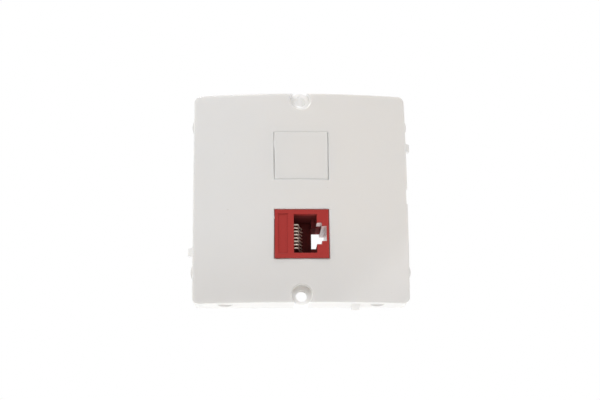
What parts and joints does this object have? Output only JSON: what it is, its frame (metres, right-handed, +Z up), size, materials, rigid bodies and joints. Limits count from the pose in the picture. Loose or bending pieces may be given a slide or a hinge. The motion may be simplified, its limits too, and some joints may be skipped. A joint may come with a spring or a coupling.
{
  "type": "ethernet wall socket",
  "caption": "Crowned square wall plate that holds a red network jack below a plain blank, with screw recesses at top and bottom and catches for a frame.",
  "frame": {"origin": "midway between the two wall screws, on the plane where the rim of the plate meets the wall", "axes": "+X to the right seen from the front, +Y into the wall, +Z up"},
  "size_m": [0.0672, 0.032, 0.0672],
  "materials": {
    "plate": "gloss white moulding",
    "blank": "gloss white moulding",
    "jack": "satin red moulding",
    "carrier": "dark moulding",
    "contacts": "bright gold plating",
    "board": "green solder resist",
    "block": "black moulding",
    "terminals": "bright tin plating",
    "caps": "white moulding"
  },
  "bodies": {
    "root": {"face_plate": "plate", "blank_insert": "blank", "jack_housing": "jack", "contact_carrier": "carrier", "contact_1": "contacts", "contact_2": "contacts", "contact_3": "contacts", "contact_4": "contacts", "contact_5": "contacts", "contact_6": "contacts", "contact_7": "contacts", "contact_8": "contacts", "circuit_board": "board", "terminal_block": "block", "terminal_1": "terminals", "terminal_2": "terminals", "terminal_3": "terminals", "terminal_4": "terminals", "terminal_5": "terminals", "terminal_6": "terminals", "terminal_7": "terminals", "terminal_8": "terminals", "wire_cap_1": "caps", "wire_cap_2": "caps"}
  },
  "joints": []
}
